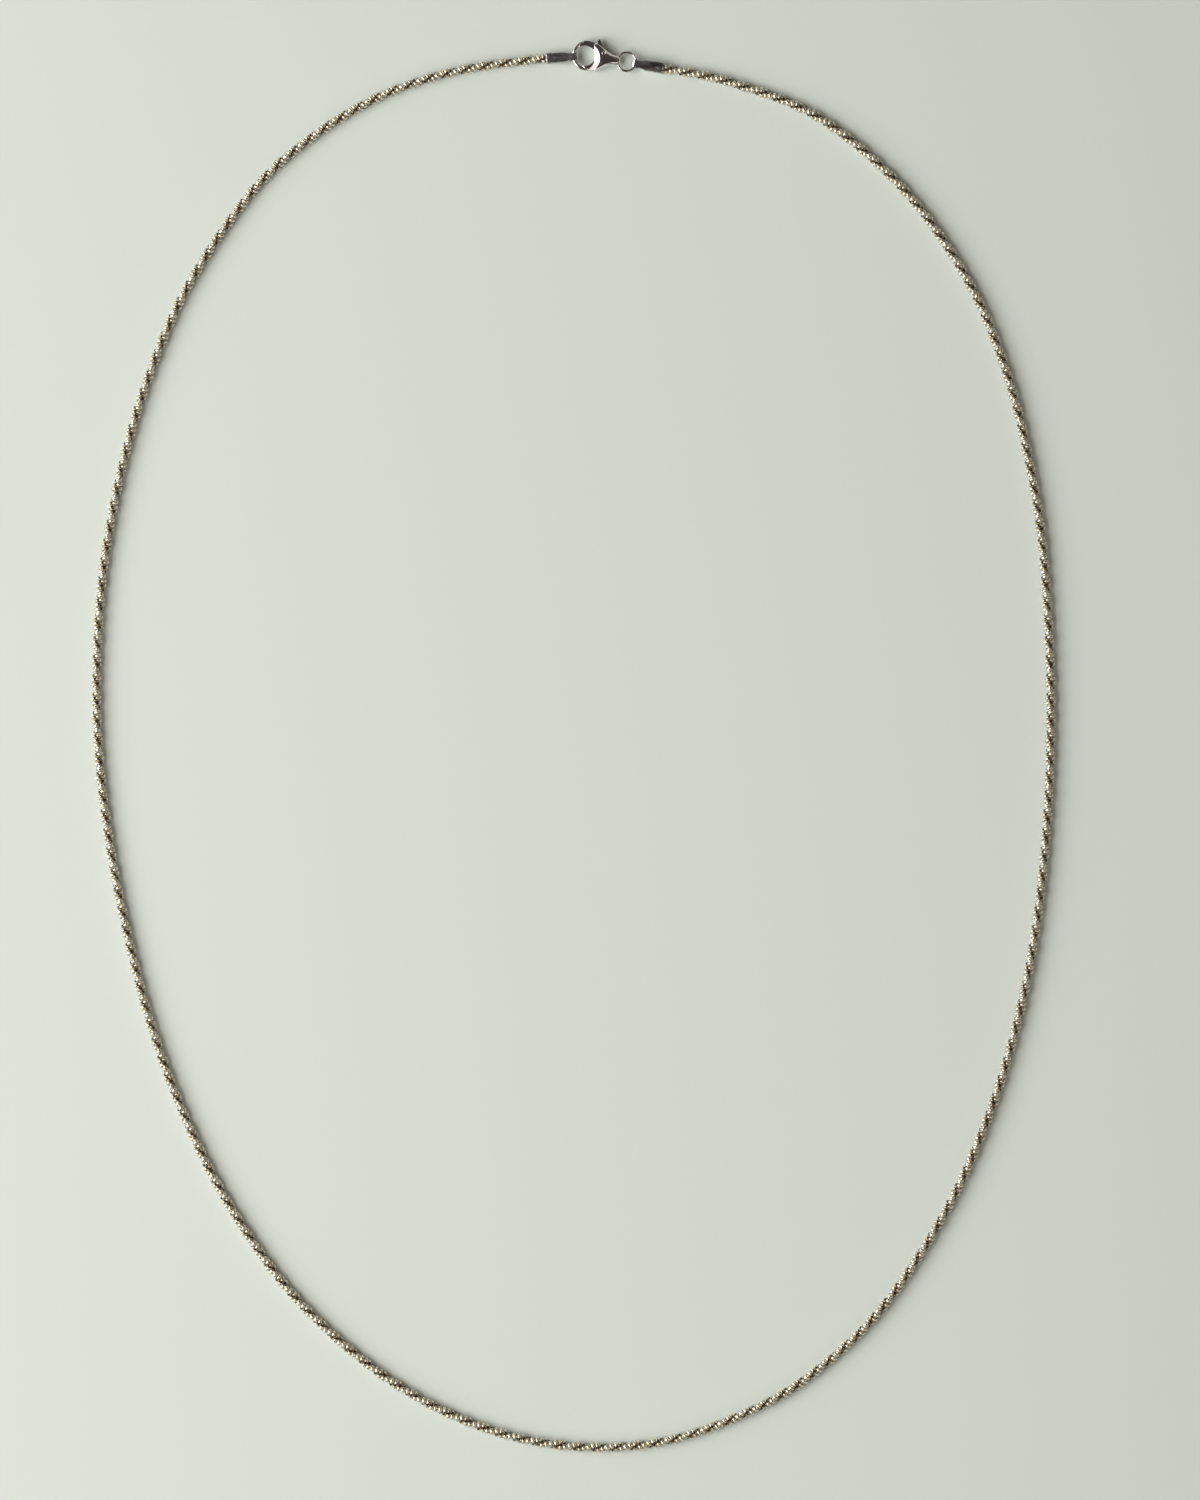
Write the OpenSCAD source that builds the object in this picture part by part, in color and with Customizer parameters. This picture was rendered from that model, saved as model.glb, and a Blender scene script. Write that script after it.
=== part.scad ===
// Rope chain necklace, 61 cm round the loop, closed by a trigger clasp.
// It lies flat as it would on a table: X across the loop, Y towards the clasp, Z up.
// All sizes are millimetres. The rope is drawn here as the plain tube that its twisted links fill.

/* [Rope] */
// Diameter over the twisted links
rope_d = 1.7; // [1.4:0.05:2]
// How far the links are squeezed in, all round, where they enter an end cap
neck_squeeze = 0.15; // [0.1:0.01:0.25]
// Sides of the tube that the rope fills
rope_sides = 8; // [8:4:12]

/* [End caps] */
// Length of one end cap over its eye
cap_len = 5.1; // [4.6:0.1:6]
// Length of the barrel that holds the rope, before it narrows
barrel_len = 2.6; // [1.8:0.1:3]
// Depth of the bore in the barrel
bore_depth = 2.3; // [1.6:0.1:2.8]
// Thinnest wall round the bore
cap_wall = 0.16; // [0.12:0.01:0.3]
// Room between the squeezed rope and the bore
cap_play = 0.03; // [0.02:0.01:0.06]
// Corner radius of the cap's squarish section
cap_corner = 0.3; // [0.2:0.05:0.6]
// Width of the folded strip that makes the eye
strip_w = 1.2; // [1:0.05:1.5]
// Thickness of that strip
strip_t = 0.24; // [0.18:0.01:0.3]
// Length of the eye's opening
eye_len = 1.25; // [1.1:0.05:1.5]
// Corner radius inside the fold
fold_r = 0.3; // [0.1:0.05:0.4]
// Room between an eye and the ring that it hangs on
eye_play = 0.05; // [0.03:0.01:0.1]

/* [Jump ring] */
// Outside diameter of the closed ring
jump_d = 3.45; // [3.2:0.05:4]
// Its wire
jump_wire = 0.45; // [0.35:0.05:0.55]
// Room for the wire in the clasp's tail
tail_play = 0.05; // [0.03:0.01:0.08]

/* [Clasp body] */
// Outside diameter of the hook
hook_d = 4.88; // [4.6:0.1:5.4]
// Width of the hook's rim, seen from above
hook_wall = 0.64; // [0.5:0.02:0.7]
// Thickness of the hook
hook_t = 0.95; // [0.85:0.05:1.05]
// Radius of the full part of the body
body_r = 2.28; // [2.1:0.02:2.5]
// Centre of the full part, from the hook's centre towards the tail
body_x = 1.05; // [0.7:0.05:1.1]
// Thickness of the body between its two flat faces
body_t = 2; // [1.8:0.05:2.3]
// From the hook's centre to the wire in the tail
tail_x = 5.12; // [4.9:0.02:5.8]
// Radius of the tail
tail_r = 0.78; // [0.65:0.01:0.8]
// Metal between the tail's hole and its end
tail_wall = 0.22; // [0.18:0.01:0.35]
// Radius of the opening through the body and under the gate
open_r = 1.62; // [1.5:0.02:1.7]
// Its centre, from the hook's centre towards the tail
open_x = -0.25; // [-0.3:0.01:-0.1]
// Its centre, off the clasp's centre line
open_y = -0.08; // [-0.15:0.01:0]
// Radius on each face of the slope down to the hook
slope_r = 2.6; // [2.4:0.05:2.8]
// Width of that slope
slope_w = 0.8; // [0.6:0.05:0.9]
// How far it falls
slope_h = 0.5; // [0.4:0.02:0.52]
// Its centre, from the hook's centre towards the tail
slope_x = -0.4; // [-0.5:0.05:-0.2]
// Its centre, off the clasp's centre line
slope_y = -0.55; // [-0.7:0.05:-0.3]

/* [Lever] */
// Thickness of the lever
lever_t = 0.8; // [0.6:0.05:0.85]
// Room beside the lever in its slot, and round its outline
slot_play = 0.06; // [0.04:0.01:0.1]
// Pivot, from the hook's centre towards the tail
pivot_x = 2.65; // [2.5:0.05:2.8]
// Pivot, off the clasp's centre line
pivot_y = 0.85; // [0.75:0.05:0.9]
// Diameter of the rivet
rivet_d = 0.5; // [0.4:0.05:0.6]
// Room round the rivet in the body and in the lever
rivet_play = 0.03; // [0.02:0.01:0.05]
// Radius of the lever's round end at the rivet
boss_r = 0.52; // [0.45:0.01:0.55]
// Reach of the gate, from the pivot to its tip
gate_reach = 4.08; // [3.9:0.02:4.2]
// Length of the hook's lip over the gate's tip
lip_len = 0.32; // [0.2:0.02:0.45]
// Thickness of that lip
lip_t = 0.24; // [0.18:0.02:0.3]
// Gap between gate and hook
gate_gap = 0.05; // [0.04:0.01:0.08]
// How far the nub stands out past the hook's rim
nub_h = 0.55; // [0.4:0.05:0.9]
// Width of the nub at its tip
nub_w = 0.44; // [0.36:0.02:0.55]
// From the pivot back to the middle of the nub's tip
nub_back = 1.05; // [0.95:0.05:1.15]
// Degrees that the lever swings inwards
lever_swing = 22; // [15:1:22]

/* [Lay] */
// Centre of the hook across the loop
clasp_x = 2.15; // [1.5:0.05:2.5]
// Centre of the hook up the loop
clasp_y = 111.8; // [111.3:0.1:112.3]
// Turn of the clasp
clasp_turn = -10; // [-14:1:-6]
// Where the left eye hangs on the hook, in degrees round its centre
left_hold = 185; // [182:1:190]
// Turn of the left end cap
left_turn = 4; // [1:1:7]
// Turn of the jump ring about the tail's hole
jump_turn = -3; // [-8:1:2]
// Where the right eye hangs on the jump ring
right_hold = -14; // [-20:1:-8]
// Turn of the right end cap
right_turn = -9; // [-12:1:-6]

/* [Hidden] */
$fn = 64;
over = 1; // how far a cut runs past what it cuts
skin = 0.02; // one outline stays inside another by this

// The rope's route, [across, along], from the left end cap round the front to the right one
route = [
    [-19, 109.3], [-31, 105.4], [-42, 98.9], [-51.9, 90], [-62.2, 75], [-68.8, 60], [-73.2, 45],
    [-76, 30], [-77.2, 15], [-77, 0], [-75.3, -15], [-72.4, -30], [-68.5, -45], [-63, -60],
    [-55.4, -75], [-44.5, -90], [-30, -102.6], [-15, -110.3], [0, -113.5], [15, -112.6],
    [30, -107.1], [41, -99.9], [50.8, -90], [60.5, -75], [67.2, -60], [71.8, -45], [74.8, -30],
    [76.7, -12], [77.3, 8], [76.2, 30], [74, 45], [70.3, 60], [64.1, 75], [53.6, 90],
    [40, 101.6], [26, 107.3]
];
steps = 3; // rings of the tube for each stretch of the route
full_after = 1.2; // the rope has its full size this far out of a cap

// Derived sizes
neck_d = rope_d - 2 * neck_squeeze;
bore_r = neck_d / 2 + cap_play;
cap_w = 2 * (bore_r + cap_wall); // the barrel is as wide as it is high
cap_z = cap_w / 2;
hook_r = hook_d / 2;
hole_r = hook_r - hook_wall;
hook_mid = (hook_r + hole_r) / 2;
jump_mid = (jump_d - jump_wire) / 2;
clasp_z = body_t / 2;
slot_t = lever_t + 2 * slot_play;
slot_r = boss_r + slot_play;
pivot = [pivot_x, pivot_y];
tail_end = tail_x + jump_wire / 2 + tail_play + tail_wall;
open_c = [open_x, open_y];

function u(a) = [cos(a), sin(a)];
function about(c, p, a) = c + [(p - c).x * cos(a) - (p - c).y * sin(a), (p - c).x * sin(a) + (p - c).y * cos(a)];

// Places that follow from one another along the clasp
hook_c = [clasp_x, clasp_y];
left_at = hook_c + hook_mid * u(left_hold);
tail_at = hook_c + tail_x * u(clasp_turn);
jump_c = tail_at + jump_mid * u(jump_turn);
right_at = jump_c + jump_mid * u(right_hold);

// Inside of a fold, from the middle of the round rim that it holds and that crosses the strip askew
function fold_in(mid, inside, skew) =
    let (half = strip_w / 2 + mid * sin(abs(skew)))
    mid * cos(skew) - sqrt(inside * inside - half * half) + eye_play;
left_fold = fold_in(hook_mid, hole_r, left_hold - left_turn - 180);
right_fold = fold_in(jump_mid, jump_mid - jump_wire / 2, right_hold - right_turn);

// Mouths of the two caps, and the way out of each
left_out = u(left_turn + 180);
right_out = u(right_turn);
left_mouth = left_at + (cap_len - left_fold - strip_t) * left_out;
right_mouth = right_at + (cap_len - right_fold - strip_t) * right_out;

// Rope

// A point of the smooth curve through the route's points
function curve(a, b, c, d, t) =
    (2 * b + (c - a) * t + (2 * a - 5 * b + 4 * c - d) * t * t + (3 * b - a - 3 * c + d) * t * t * t) / 2;

rope_from = left_mouth + full_after * left_out;
rope_to = right_mouth + full_after * right_out;
run = concat([rope_from], route, [rope_to]);
// One more point past each end keeps the curve in line with the cap
lead = concat(
    [rope_from - norm(route[0] - rope_from) * left_out],
    run,
    [rope_to - norm(route[len(route) - 1] - rope_to) * right_out]
);
bends = [for (i = [1 : len(lead) - 3], k = [0 : steps - 1])
    curve(lead[i - 1], lead[i], lead[i + 1], lead[i + 2], k / steps)];

// Each row is a point across and along, its height, and the radius to the tube's corners
neck_r = neck_d / 2;
full_r = rope_d / 2 / cos(180 / rope_sides);
end_gap = 0.1; // the rope stops this far short of a bore's end
in_bore = bore_depth - end_gap;
rows = concat(
    [for (s = [-in_bore, end_gap]) [left_mouth + s * left_out, cap_z, neck_r]],
    [for (p = bends) [p, rope_d / 2, full_r]],
    [[rope_to, rope_d / 2, full_r]],
    [for (s = [end_gap, -in_bore]) [right_mouth + s * right_out, cap_z, neck_r]]
);
function side(i) =
    let (d = rows[min(i + 1, len(rows) - 1)][0] - rows[max(i - 1, 0)][0])
    [-d.y, d.x] / norm(d);
function corner(i, k) =
    let (a = (k + 0.5) * 360 / rope_sides, c = rows[i][0] + rows[i][2] * cos(a) * side(i))
    [c.x, c.y, rows[i][1] + rows[i][2] * sin(a)];

module rope_chain() {
    m = rope_sides;
    n = len(rows);
    color("silver")
    polyhedron(
        points = [for (i = [0 : n - 1], k = [0 : m - 1]) corner(i, k)],
        faces = concat(
            [[for (k = [0 : m - 1]) k]],
            [for (i = [0 : n - 2], k = [0 : m - 1]) [i * m + k, (i + 1) * m + k, i * m + (k + 1) % m]],
            [for (i = [0 : n - 2], k = [0 : m - 1])
                [i * m + (k + 1) % m, (i + 1) * m + k, (i + 1) * m + (k + 1) % m]],
            [[for (k = [m - 1 : -1 : 0]) (n - 1) * m + k]]
        ),
        convexity = 4
    );
}

// End caps: a squarish barrel that narrows to a strip, folded back on itself as an eye

module round_rect(a, b, r) {
    square([a - 2 * r, b], center = true);
    square([a, b - 2 * r], center = true);
    for (x = [-1, 1], y = [-1, 1])
        translate([x * (a / 2 - r), y * (b / 2 - r)]) circle(r);
}

// Drawn from the fold at x = 0 to the mouth at x = cap_len, about its own axis
module end_cap() {
    narrow_to = strip_t + eye_len;
    shoulder = cap_len - barrel_len;
    difference() {
        intersection() {
            rotate([90, 0, 90]) linear_extrude(cap_len) round_rect(cap_w, cap_w, cap_corner);
            // Seen from above: the strip, the shoulder and the barrel
            translate([0, 0, -cap_w]) linear_extrude(2 * cap_w)
                polygon([
                    [-over, -strip_w / 2], [narrow_to, -strip_w / 2], [shoulder, -cap_w / 2],
                    [cap_len + over, -cap_w / 2], [cap_len + over, cap_w / 2],
                    [shoulder, cap_w / 2], [narrow_to, strip_w / 2], [-over, strip_w / 2]
                ]);
            // Seen from the side: the fold's round corners
            translate([cap_len, cap_w, 0]) rotate([90, 0, 0]) linear_extrude(2 * cap_w)
                round_rect(2 * cap_len, cap_w, fold_r + strip_t);
        }
        translate([strip_t + eye_len / 2, cap_w, 0]) rotate([90, 0, 0]) linear_extrude(2 * cap_w)
            round_rect(eye_len, cap_w - 2 * strip_t, fold_r);
        translate([cap_len - bore_depth, 0, 0]) rotate([0, 90, 0]) cylinder(r = bore_r, h = bore_depth + over);
    }
}

// Puts a cap with the rim that it holds at a place, its mouth pointing outwards
module hang(at, fold, turn) {
    translate([at.x, at.y, cap_z]) rotate(turn) translate([-fold - strip_t, 0, 0]) end_cap();
}

module end_cap_left() {
    color("silver") hang(left_at, left_fold, left_turn + 180);
}

module end_cap_right() {
    color("silver") hang(right_at, right_fold, right_turn);
}

// Jump ring

module wire_ring(mid, r) {
    rotate_extrude() translate([mid, 0]) circle(r);
}

module jump_ring() {
    color("silver") translate([jump_c.x, jump_c.y, clasp_z]) wire_ring(jump_mid, jump_wire / 2);
}

// Clasp: each piece is drawn about the hook's centre, with the tail along X

module on_clasp() {
    translate([hook_c.x, hook_c.y, clasp_z]) rotate(clasp_turn) children();
}

// The hook's rim, rounded inside and out
module rim(inner, outer, t) {
    wall = outer - inner;
    rotate_extrude() translate([inner + wall / 2, 0]) {
        square([wall, t - wall], center = true);
        for (z = [-1, 1]) translate([0, z * (t - wall) / 2]) circle(wall / 2);
    }
}

// Seen from above: all that the gate takes up, with room g round it
module gate_reach_plan(g) {
    difference() {
        translate(pivot) circle(gate_reach + g);
        difference() {
            translate(pivot) circle(gate_reach + hook_d);
            translate(pivot) circle(gate_reach - lip_len + g);
            circle(hook_r - lip_t + g);
        }
    }
}

// Seen from above: a wedge of the hook, from one angle round to another
module wedge(from, to) {
    polygon(concat([[0, 0]], [for (k = [0 : 3]) hook_d * u(from + (to - from) * k / 3)]));
}

// Half of the body's outline, with a hollow flank from the full part to the tail
flank_run = tail_x + tail_r / 2 - body_x;
flank_r = (flank_run * flank_run + tail_r * tail_r - body_r * body_r) / (2 * (body_r - tail_r));
flank_c = [body_x + flank_run, tail_r + flank_r];
flank_from = [body_x, 0] + body_r / (body_r + flank_r) * (flank_c - [body_x, 0]);
// The tail's round end runs on smoothly from the flank
end_run = flank_c.x - tail_end;
end_r = (end_run * end_run + flank_c.y * flank_c.y - flank_r * flank_r) / (2 * (flank_r - end_run));
end_c = [tail_end - end_r, 0];
flank_to = end_c + end_r / (end_r + flank_r) * (flank_c - end_c);
module body_half() {
    intersection() {
        translate([body_x, 0]) circle(body_r);
        translate([body_x - hook_d, 0]) square([flank_from.x - body_x + hook_d, hook_d]);
    }
    difference() {
        translate([flank_from.x, 0]) square([flank_to.x - flank_from.x, flank_from.y]);
        translate(flank_c) circle(flank_r, $fn = 128);
    }
    intersection() {
        translate(end_c) circle(end_r);
        translate([flank_to.x, 0]) square(end_r);
    }
}

cheek_x = 1; // the body's cheeks start here beside the gate
full_to = 2.9; // the body thins from here to the tail
tail_half = tail_r - skin; // half the thickness of the tail's end
module body_side() {
    top = [
        [body_x - hook_d, body_t / 2], [full_to, body_t / 2],
        [tail_x, tail_half], [tail_end + over, tail_half]
    ];
    polygon(concat(top, [for (i = [len(top) - 1 : -1 : 0]) [top[i].x, -top[i].y]]));
}

// The body's outline turned about the clasp's long axis
module body_turned() {
    rotate([0, 90, 0]) rotate([0, 0, 90]) rotate_extrude() rotate(90) body_half();
}

// The opening through the body, and on each face the slope down to the hook's level
module body_opening() {
    translate([open_x, open_y, -body_t]) cylinder(r = open_r, h = 2 * body_t);
    // The slopes run on above the faces
    for (face = [0, 1])
        mirror([0, 0, face]) translate([slope_x, slope_y, body_t / 2 - slope_h])
            cylinder(r1 = slope_r - slope_w, r2 = slope_r + slope_w, h = 2 * slope_h);
}

// Angles round the hook, up from the clasp's centre line on the gate's side
rim_open = 12; // the rim is open from here
tip_turn = 175; // past the hook's tip
gate_root = 66; // gate and arm join
// Angle round the opening's centre
under_turn = 30; // the arm's underside meets the opening
// Angles round the pivot
back_turn = 60; // the nub's back leaves the lever's round end
belly_turn = 240; // the arm's underside leaves it
floor_turn = 262; // the slot's floor leaves its round end

// Lever, seen from above
nub_x = pivot_x - nub_back;
nub_top = hook_r + nub_h;
nub_slant = 0.08; // the nub's front leans by this
nub_foot = pivot + [-0.3, boss_r + 0.55]; // where the nub's back meets the arm
under = open_c + open_r * u(under_turn);
module lever_plan() {
    difference() {
        union() {
            // Gate
            intersection() {
                circle(hook_r - skin);
                wedge(gate_root - 2, tip_turn);
                gate_reach_plan(0);
            }
            // Arm and nub
            polygon([
                pivot, pivot + boss_r * u(back_turn), nub_foot, [nub_x + nub_w / 2, nub_top - nub_w / 2],
                [nub_x - nub_w / 2, nub_top - nub_w / 2], [nub_x - nub_w / 2 - nub_slant, hook_mid],
                (hook_r - skin) * u(gate_root), hole_r / 2 * u(gate_root), under,
                pivot + boss_r * u(belly_turn)
            ]);
            translate([nub_x, nub_top - nub_w / 2]) circle(nub_w / 2);
            translate(pivot) circle(boss_r);
        }
        // The gate thins to the hook's own width at its tip
        intersection() {
            circle(hole_r + skin);
            translate(open_c) circle(open_r + skin);
        }
        translate(pivot) circle(d = rivet_d + 2 * rivet_play);
    }
}

// The slot is open on the nub's side, and its floor clears the open lever's underside
floor_at = about(pivot, under, lever_swing) - [0, slot_play];
slot_back = nub_foot + slot_play * [1.2, 1];
module slot_plan() {
    translate(pivot) circle(slot_r);
    polygon([
        pivot, pivot + slot_r * u(back_turn), slot_back, [slot_back.x, nub_top + over],
        [0, nub_top + over], [0, floor_at.y], floor_at, pivot + slot_r * u(floor_turn)
    ]);
}

module clasp_body() {
    color("silver") on_clasp() difference() {
        union() {
            difference() {
                rim(hole_r, hook_r, hook_t);
                // The gate's stretch of the rim, up to the hook's tip and under its lip
                translate([0, 0, -hook_t]) linear_extrude(2 * hook_t) intersection() {
                    wedge(rim_open, tip_turn);
                    gate_reach_plan(gate_gap);
                }
            }
            difference() {
                intersection() {
                    body_turned();
                    translate([0, hook_d, 0]) rotate([90, 0, 0]) linear_extrude(2 * hook_d) body_side();
                }
                body_opening();
                translate([cheek_x - hook_d, 0, -body_t]) cube([hook_d, hook_d, 2 * body_t]);
            }
        }
        translate([0, 0, -slot_t / 2]) linear_extrude(slot_t) slot_plan();
        translate([pivot_x, pivot_y, -body_t]) cylinder(d = rivet_d + 2 * rivet_play, h = 2 * body_t);
        // The hole in the tail follows the jump ring's wire
        translate([tail_x, 0, 0]) rotate(jump_turn - clasp_turn) translate([jump_mid, 0, 0])
            wire_ring(jump_mid, jump_wire / 2 + tail_play);
    }
}

module clasp_lever() {
    color("gainsboro") on_clasp() translate([0, 0, -lever_t / 2]) linear_extrude(lever_t) lever_plan();
}

module clasp_rivet() {
    color("silver") on_clasp() translate([pivot_x, pivot_y, -body_t / 2]) cylinder(d = rivet_d, h = body_t);
}

rope_chain();
end_cap_left();
end_cap_right();
jump_ring();
clasp_body();
clasp_lever();
clasp_rivet();
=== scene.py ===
# Looks of a slim silver rope chain necklace, laid flat and closed by a trigger clasp
from math import atan2, cos, degrees, pi, radians, sin, sqrt
from random import Random

import bmesh
import bpy
from mathutils import Matrix, Vector


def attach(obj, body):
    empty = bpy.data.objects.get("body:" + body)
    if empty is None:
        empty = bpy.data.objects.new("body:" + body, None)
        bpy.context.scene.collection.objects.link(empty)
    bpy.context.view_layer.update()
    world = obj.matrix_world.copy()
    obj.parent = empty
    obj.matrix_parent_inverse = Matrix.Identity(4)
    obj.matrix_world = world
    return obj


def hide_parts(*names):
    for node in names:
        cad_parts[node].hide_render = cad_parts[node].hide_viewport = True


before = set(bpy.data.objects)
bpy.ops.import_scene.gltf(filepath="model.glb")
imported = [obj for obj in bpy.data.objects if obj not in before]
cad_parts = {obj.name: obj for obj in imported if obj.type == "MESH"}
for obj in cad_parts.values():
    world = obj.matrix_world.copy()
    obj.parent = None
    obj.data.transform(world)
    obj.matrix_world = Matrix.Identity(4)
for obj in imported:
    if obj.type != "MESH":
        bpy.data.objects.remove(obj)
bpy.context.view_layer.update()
mm = 0.001  # the pieces are worked out in millimetres and placed in metres; the lights are in metres

# Where the pieces hang on one another, in millimetres and degrees, seen from above
lay = {
    "hookCentre": (2.15, 111.8),
    "claspTurn": -10,
    "claspHeight": 1.0,
    "leftHold": 185,
    "leftTurn": 4,
    "jumpTurn": -3,
    "rightHold": -14,
    "rightTurn": -9,
    "eyePlay": 0.05,
}

clasp = {
    "hookRadius": 2.44,
    "openingRadius": 1.8,
    "hookThickness": 0.95,
    "bodyRadius": 2.28,
    "bodyX": 1.05,
    "bodyThickness": 2.0,
    "throatRadius": 1.62,  # opening through the body and under the gate, a little off the hook's centre
    "throatAt": (-0.25, -0.08),
    "slopeRadius": 2.6,
    "slopeWidth": 0.8,
    "slopeFall": 0.5,
    "slopeAt": (-0.4, -0.55),
    "cheekX": 1.0,
    "fullTo": 2.9,
    "tailX": 5.12,
    "tailRadius": 0.78,
    "tailEnd": 5.615,
    "pivot": (2.65, 0.85),
    "slotThickness": 0.92,
    "slotRadius": 0.58,
    "rivetHole": 0.56,
    "throatEdge": 30,  # degrees round the throat where the lever's arm ends
    "gateRoomFrom": 12,  # degrees round the hook that the gate takes up
    "gateRoomTo": 175,
    "slotFrom": 60,  # degrees round the pivot where the slot's sides leave its round end
    "slotTo": 262,
    "slotBack": 1.2,  # times the play at the slot's back, so that the foot clears it
    "roundSides": 192,  # of the drums that cut and fill the round parts
    "holeSides": 48,
    "tumbling": 5,  # rounds of smoothing
    "kept": 0.4,  # share of the faces left after thinning
    "cast": 0.04,  # grain of the casting: edges come out about this round
}

lever = {
    "thickness": 0.8,
    "bossRadius": 0.52,
    "gateReach": 4.08,
    "lipLength": 0.32,
    "lipThickness": 0.24,
    "gateGap": 0.05,
    "nubBack": 1.05,
    "nubHeight": 0.55,
    "nubWidth": 0.44,
    "swing": 22,  # degrees that the lever opens
    "armFrom": 60,  # degrees round the pivot where the arm's sides leave the boss
    "armTo": 240,
    "gateFrom": 64,  # degrees round the hook where the gate starts
    "armOverlap": 66,  # the arm reaches this far into the gate
    "nubFlare": 0.08,
    "footBack": 0.3,
    "footRise": 0.55,
    "bossSides": 64,
    "cast": 0.03,
    "tumbling": 5,
    "kept": 0.5,
    "skin": 0.02,  # one outline stays inside another by this
}

jumpRing = {
    "outside": 3.45,
    "wire": 0.45,
    "play": 0.05,
    "steps": 72,
    "wireSides": 18,
    "holeSteps": 96,
    "holeSides": 24,
}

cap = {
    "length": 5.1,
    "barrel": 2.6,
    "boreDepth": 2.3,
    "boreRadius": 0.73,
    "width": 1.78,
    "corner": 0.3,
    "stripWidth": 1.2,
    "stripThickness": 0.24,
    "eye": 1.25,
    "fold": 0.3,
    "cornerSides": 10,
    "eyeSides": 8,
    "spare": 0.01,  # the plan is cut this much wider than the stock
    "cast": 0.034,
    "tumbling": 6,
    "kept": 0.5,
}

rope = {
    "diameter": 1.7,
    "ringRadius": 0.405,  # of one link, to the middle of its wire
    "wire": 0.34,
    "wireWidth": 0.48,  # the wire is rolled flat, wider than thick
    "offAxis": 0.262,  # links sit this far to either side of the rope's middle
    "lean": 64,  # degrees between a link and the rope
    "twist": 6.32,  # the strands turn once in this length, left-handed
    "step": 0.34,  # from one link to the next
    "roundSides": 14,
    "wireSides": 6,
    "squeezed": 0.81,  # size of the links inside a cap
    "freeAfter": 1.2,  # full size this far out of a cap
    "inCap": 2.15,  # the rope reaches this far into a cap
    "pieces": 4,
    "unevenTurn": 2.0,
    "unevenSize": 0.012,
    "seed": 7,
    "between": 40,  # points on the curve for each point of the route
    "endRoom": 0.1,  # no link closer than this to the rope's ends
}

# The rope's route from the left cap round the front to the right one, the same list as in the CAD.
# Its places come from a scratch script's trace of the photo's loop, rounded to 0.1 mm
route = [
    (-19, 109.3), (-31, 105.4), (-42, 98.9), (-51.9, 90), (-62.2, 75), (-68.8, 60), (-73.2, 45),
    (-76, 30), (-77.2, 15), (-77, 0), (-75.3, -15), (-72.4, -30), (-68.5, -45), (-63, -60),
    (-55.4, -75), (-44.5, -90), (-30, -102.6), (-15, -110.3), (0, -113.5), (15, -112.6),
    (30, -107.1), (41, -99.9), (50.8, -90), (60.5, -75), (67.2, -60), (71.8, -45), (74.8, -30),
    (76.7, -12), (77.3, 8), (76.2, 30), (74, 45), (70.3, 60), (64.1, 75), (53.6, 90),
    (40, 101.6), (26, 107.3),
]


def along(angle, length=1.0):
    return Vector((cos(radians(angle)), sin(radians(angle)), 0)) * length


# Places that follow from one another along the clasp

def foldInside(middle, inside, skew):
    half = cap["stripWidth"] / 2 + middle * sin(abs(radians(skew)))
    return middle * cos(radians(skew)) - sqrt(inside ** 2 - half ** 2) + lay["eyePlay"]


hookCentre = Vector((*lay["hookCentre"], 0))
hookMiddle = (clasp["hookRadius"] + clasp["openingRadius"]) / 2
jumpMiddle = (jumpRing["outside"] - jumpRing["wire"]) / 2
tailPlace = hookCentre + along(lay["claspTurn"], clasp["tailX"])
jumpCentre = tailPlace + along(lay["jumpTurn"], jumpMiddle)
leftHeld = hookCentre + along(lay["leftHold"], hookMiddle)
rightHeld = jumpCentre + along(lay["rightHold"], jumpMiddle)
leftFold = foldInside(hookMiddle, clasp["openingRadius"], lay["leftHold"] - lay["leftTurn"] - 180)
rightFold = foldInside(jumpMiddle, jumpMiddle - jumpRing["wire"] / 2, lay["rightHold"] - lay["rightTurn"])
leftOut = along(lay["leftTurn"] + 180)
rightOut = along(lay["rightTurn"])
leftMouth = leftHeld + leftOut * (cap["length"] - leftFold - cap["stripThickness"])
rightMouth = rightHeld + rightOut * (cap["length"] - rightFold - cap["stripThickness"])


# Camera, floor and light

camera = {
    "centre": (4.33, -0.65),
    "seenHeight": 243,
    "sharpAt": 0.9,  # height of the plane that the seen height is meant for
    "lens": 200,
    "sensor": 36,
}

studio = {
    "floorColour": (0.68, 0.735, 0.69),
    "floorReach": 6.0,
    "floorRoughness": 0.9,
    "floorShine": 0.1,
    "keySide": 186,  # degrees round, from +X
    "keyHeight": 41,
    "keyDistance": 1.1,
    "keySize": (0.95, 1.0),
    "keyPower": 15.3,
    "keyColour": (1.0, 0.985, 0.955),
    "wallSide": 178,
    "wallHeight": 23,
    "wallDistance": 1.3,
    "wallSize": (3.8, 0.75),
    "wallPower": 9.6,
    "wallColour": (1.0, 0.98, 0.95),
    "cardSide": 300,
    "cardHeight": 38,
    "cardDistance": 1.6,
    "cardSize": (1.2, 0.7),
    "cardPower": 2.8,
    "cardColour": (1.0, 0.97, 0.93),
    "skyLow": (0.09, 0.075, 0.06),
    "skyMid": (0.13, 0.108, 0.085),
    "skyHigh": (0.14, 0.117, 0.092),
    "skyTop": (0.05, 0.045, 0.04),  # the camera and its holder, dark over the table
    "skyMidAt": 0.45,
    "skyHighAt": 0.88,
    "skyTopAt": 0.97,
}


def setCamera():
    data = bpy.data.cameras.new("camera")
    data.lens = camera["lens"]
    data.sensor_width = camera["sensor"]
    data.clip_start = 0.01
    place = bpy.data.objects.new("camera", data)
    bpy.context.collection.objects.link(place)
    height = camera["seenHeight"] * camera["lens"] / camera["sensor"] + camera["sharpAt"]
    place.location = Vector((*camera["centre"], height)) * mm
    bpy.context.scene.camera = place
    print("camera", tuple(round(v, 3) for v in place.location))


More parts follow.
